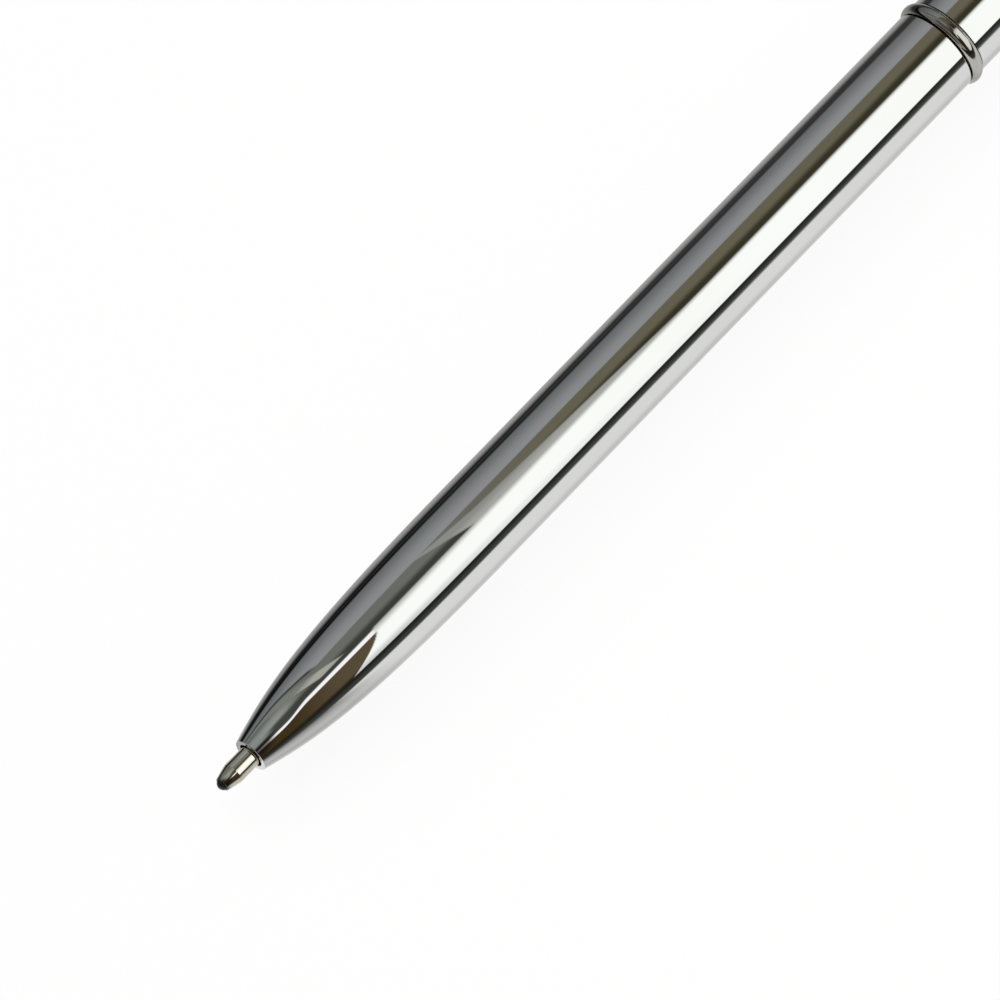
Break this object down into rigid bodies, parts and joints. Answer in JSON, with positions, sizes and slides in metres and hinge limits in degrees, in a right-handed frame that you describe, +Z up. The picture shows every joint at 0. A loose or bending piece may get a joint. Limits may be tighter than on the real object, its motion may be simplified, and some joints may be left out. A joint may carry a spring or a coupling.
{
  "type": "twist ballpoint pen",
  "caption": "Slim chromed twist ballpoint pen with a bullet nose, bead ring and sprung clip; turning the upper barrel draws the point in, and the barrels pull apart.",
  "frame": {"origin": "on the surface the pen lies on, at the middle of its bounding box", "axes": "+X along the pen from the writing point to the top, +Y to the side the clip lies on, +Z up"},
  "size_m": [0.1366, 0.0094, 0.0076],
  "materials": {
    "chrome_plate": "mirror-bright chrome plate on brass",
    "brass": "turned, unplated",
    "nickel_silver": "turned, bright",
    "tube_metal": "drawn, nickel plated, satin",
    "spring_steel": "bright steel",
    "carbide": "polished tungsten carbide",
    "acetal": "moulded, natural white",
    "nitrile_rubber": "moulded, black",
    "ink": "thick blue paste"
  },
  "bodies": {
    "lower": {"lower_barrel": "chrome_plate", "barrel_bush": "brass"},
    "mechanism": {"mechanism_housing": "brass", "centre_ring": "chrome_plate", "thrust_washer": "acetal", "drag_ring": "nitrile_rubber", "retaining_ring": "spring_steel"},
    "upper": {"cam_sleeve": "acetal", "upper_barrel": "chrome_plate", "top_bush": "brass", "clip_base": "chrome_plate", "finial_stud": "spring_steel", "finial": "chrome_plate"},
    "clip_arm": {"clip_arm": "chrome_plate"},
    "refill": {"plunger": "acetal", "follower_pin": "spring_steel", "refill_tube": "tube_metal", "point_body": "nickel_silver", "ink": "ink"},
    "ball": {"ball": "carbide"}
  },
  "joints": [
    {"name": "pull_apart", "type": "slide", "parent": "lower", "child": "mechanism", "axis": [1, 0, 0], "range_m": [0, 0.088]},
    {"name": "twist", "type": "hinge", "parent": "mechanism", "child": "upper", "pos_m": [0.01305, -0.00091, 0.0038], "axis": [1, 0, 0], "range_deg": [0, 180]},
    {"name": "refill_travel", "type": "slide", "parent": "mechanism", "child": "refill", "axis": [1, 0, 0], "range_m": [0, 0.0046]},
    {"name": "clip_flex", "type": "hinge", "parent": "upper", "child": "clip_arm", "pos_m": [0.06108, 0.00376, 0.00141], "axis": [0, -0.4561, -0.8899], "range_deg": [0, 4.5], "stiffness_Nm_per_rad": 2},
    {"name": "ball_roll", "type": "hinge", "parent": "refill", "child": "ball", "pos_m": [-0.06781, -0.00091, 0.0038], "axis": [0, 1, 0], "continuous": true}
  ],
  "couplings": [
    {"joint": "twist", "follows": "refill_travel", "rad_per_m": 682.95}
  ]
}
